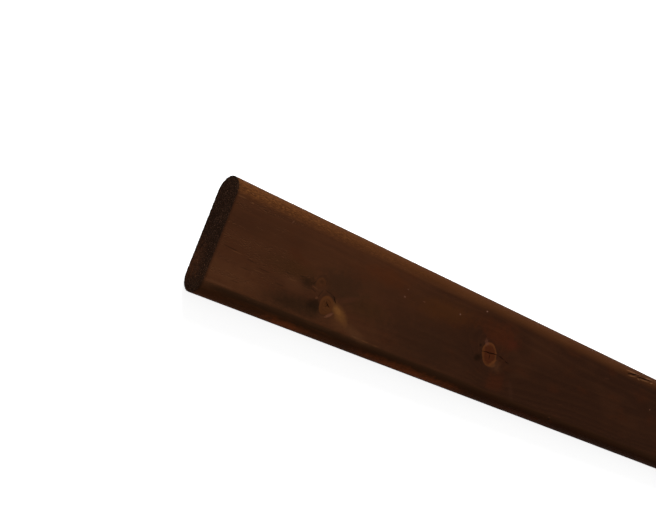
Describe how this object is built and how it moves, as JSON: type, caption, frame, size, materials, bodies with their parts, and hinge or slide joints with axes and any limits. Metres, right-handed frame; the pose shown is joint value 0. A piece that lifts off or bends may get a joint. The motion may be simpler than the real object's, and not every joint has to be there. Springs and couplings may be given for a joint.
{
  "type": "fence board",
  "caption": "Planed softwood fence board with a rounded edge along each side and square-cut ends, stained dark brown, for nailing or screwing flat across posts or rails.",
  "frame": {"origin": "middle of the back face, which the board lies on", "axes": "+X along the board's length, +Y across its width, +Z through its thickness from the back face up to the front face"},
  "size_m": [1.8, 0.095, 0.028],
  "materials": {
    "stained_softwood": "satin"
  },
  "bodies": {
    "root": {"board": "stained_softwood"}
  },
  "joints": []
}
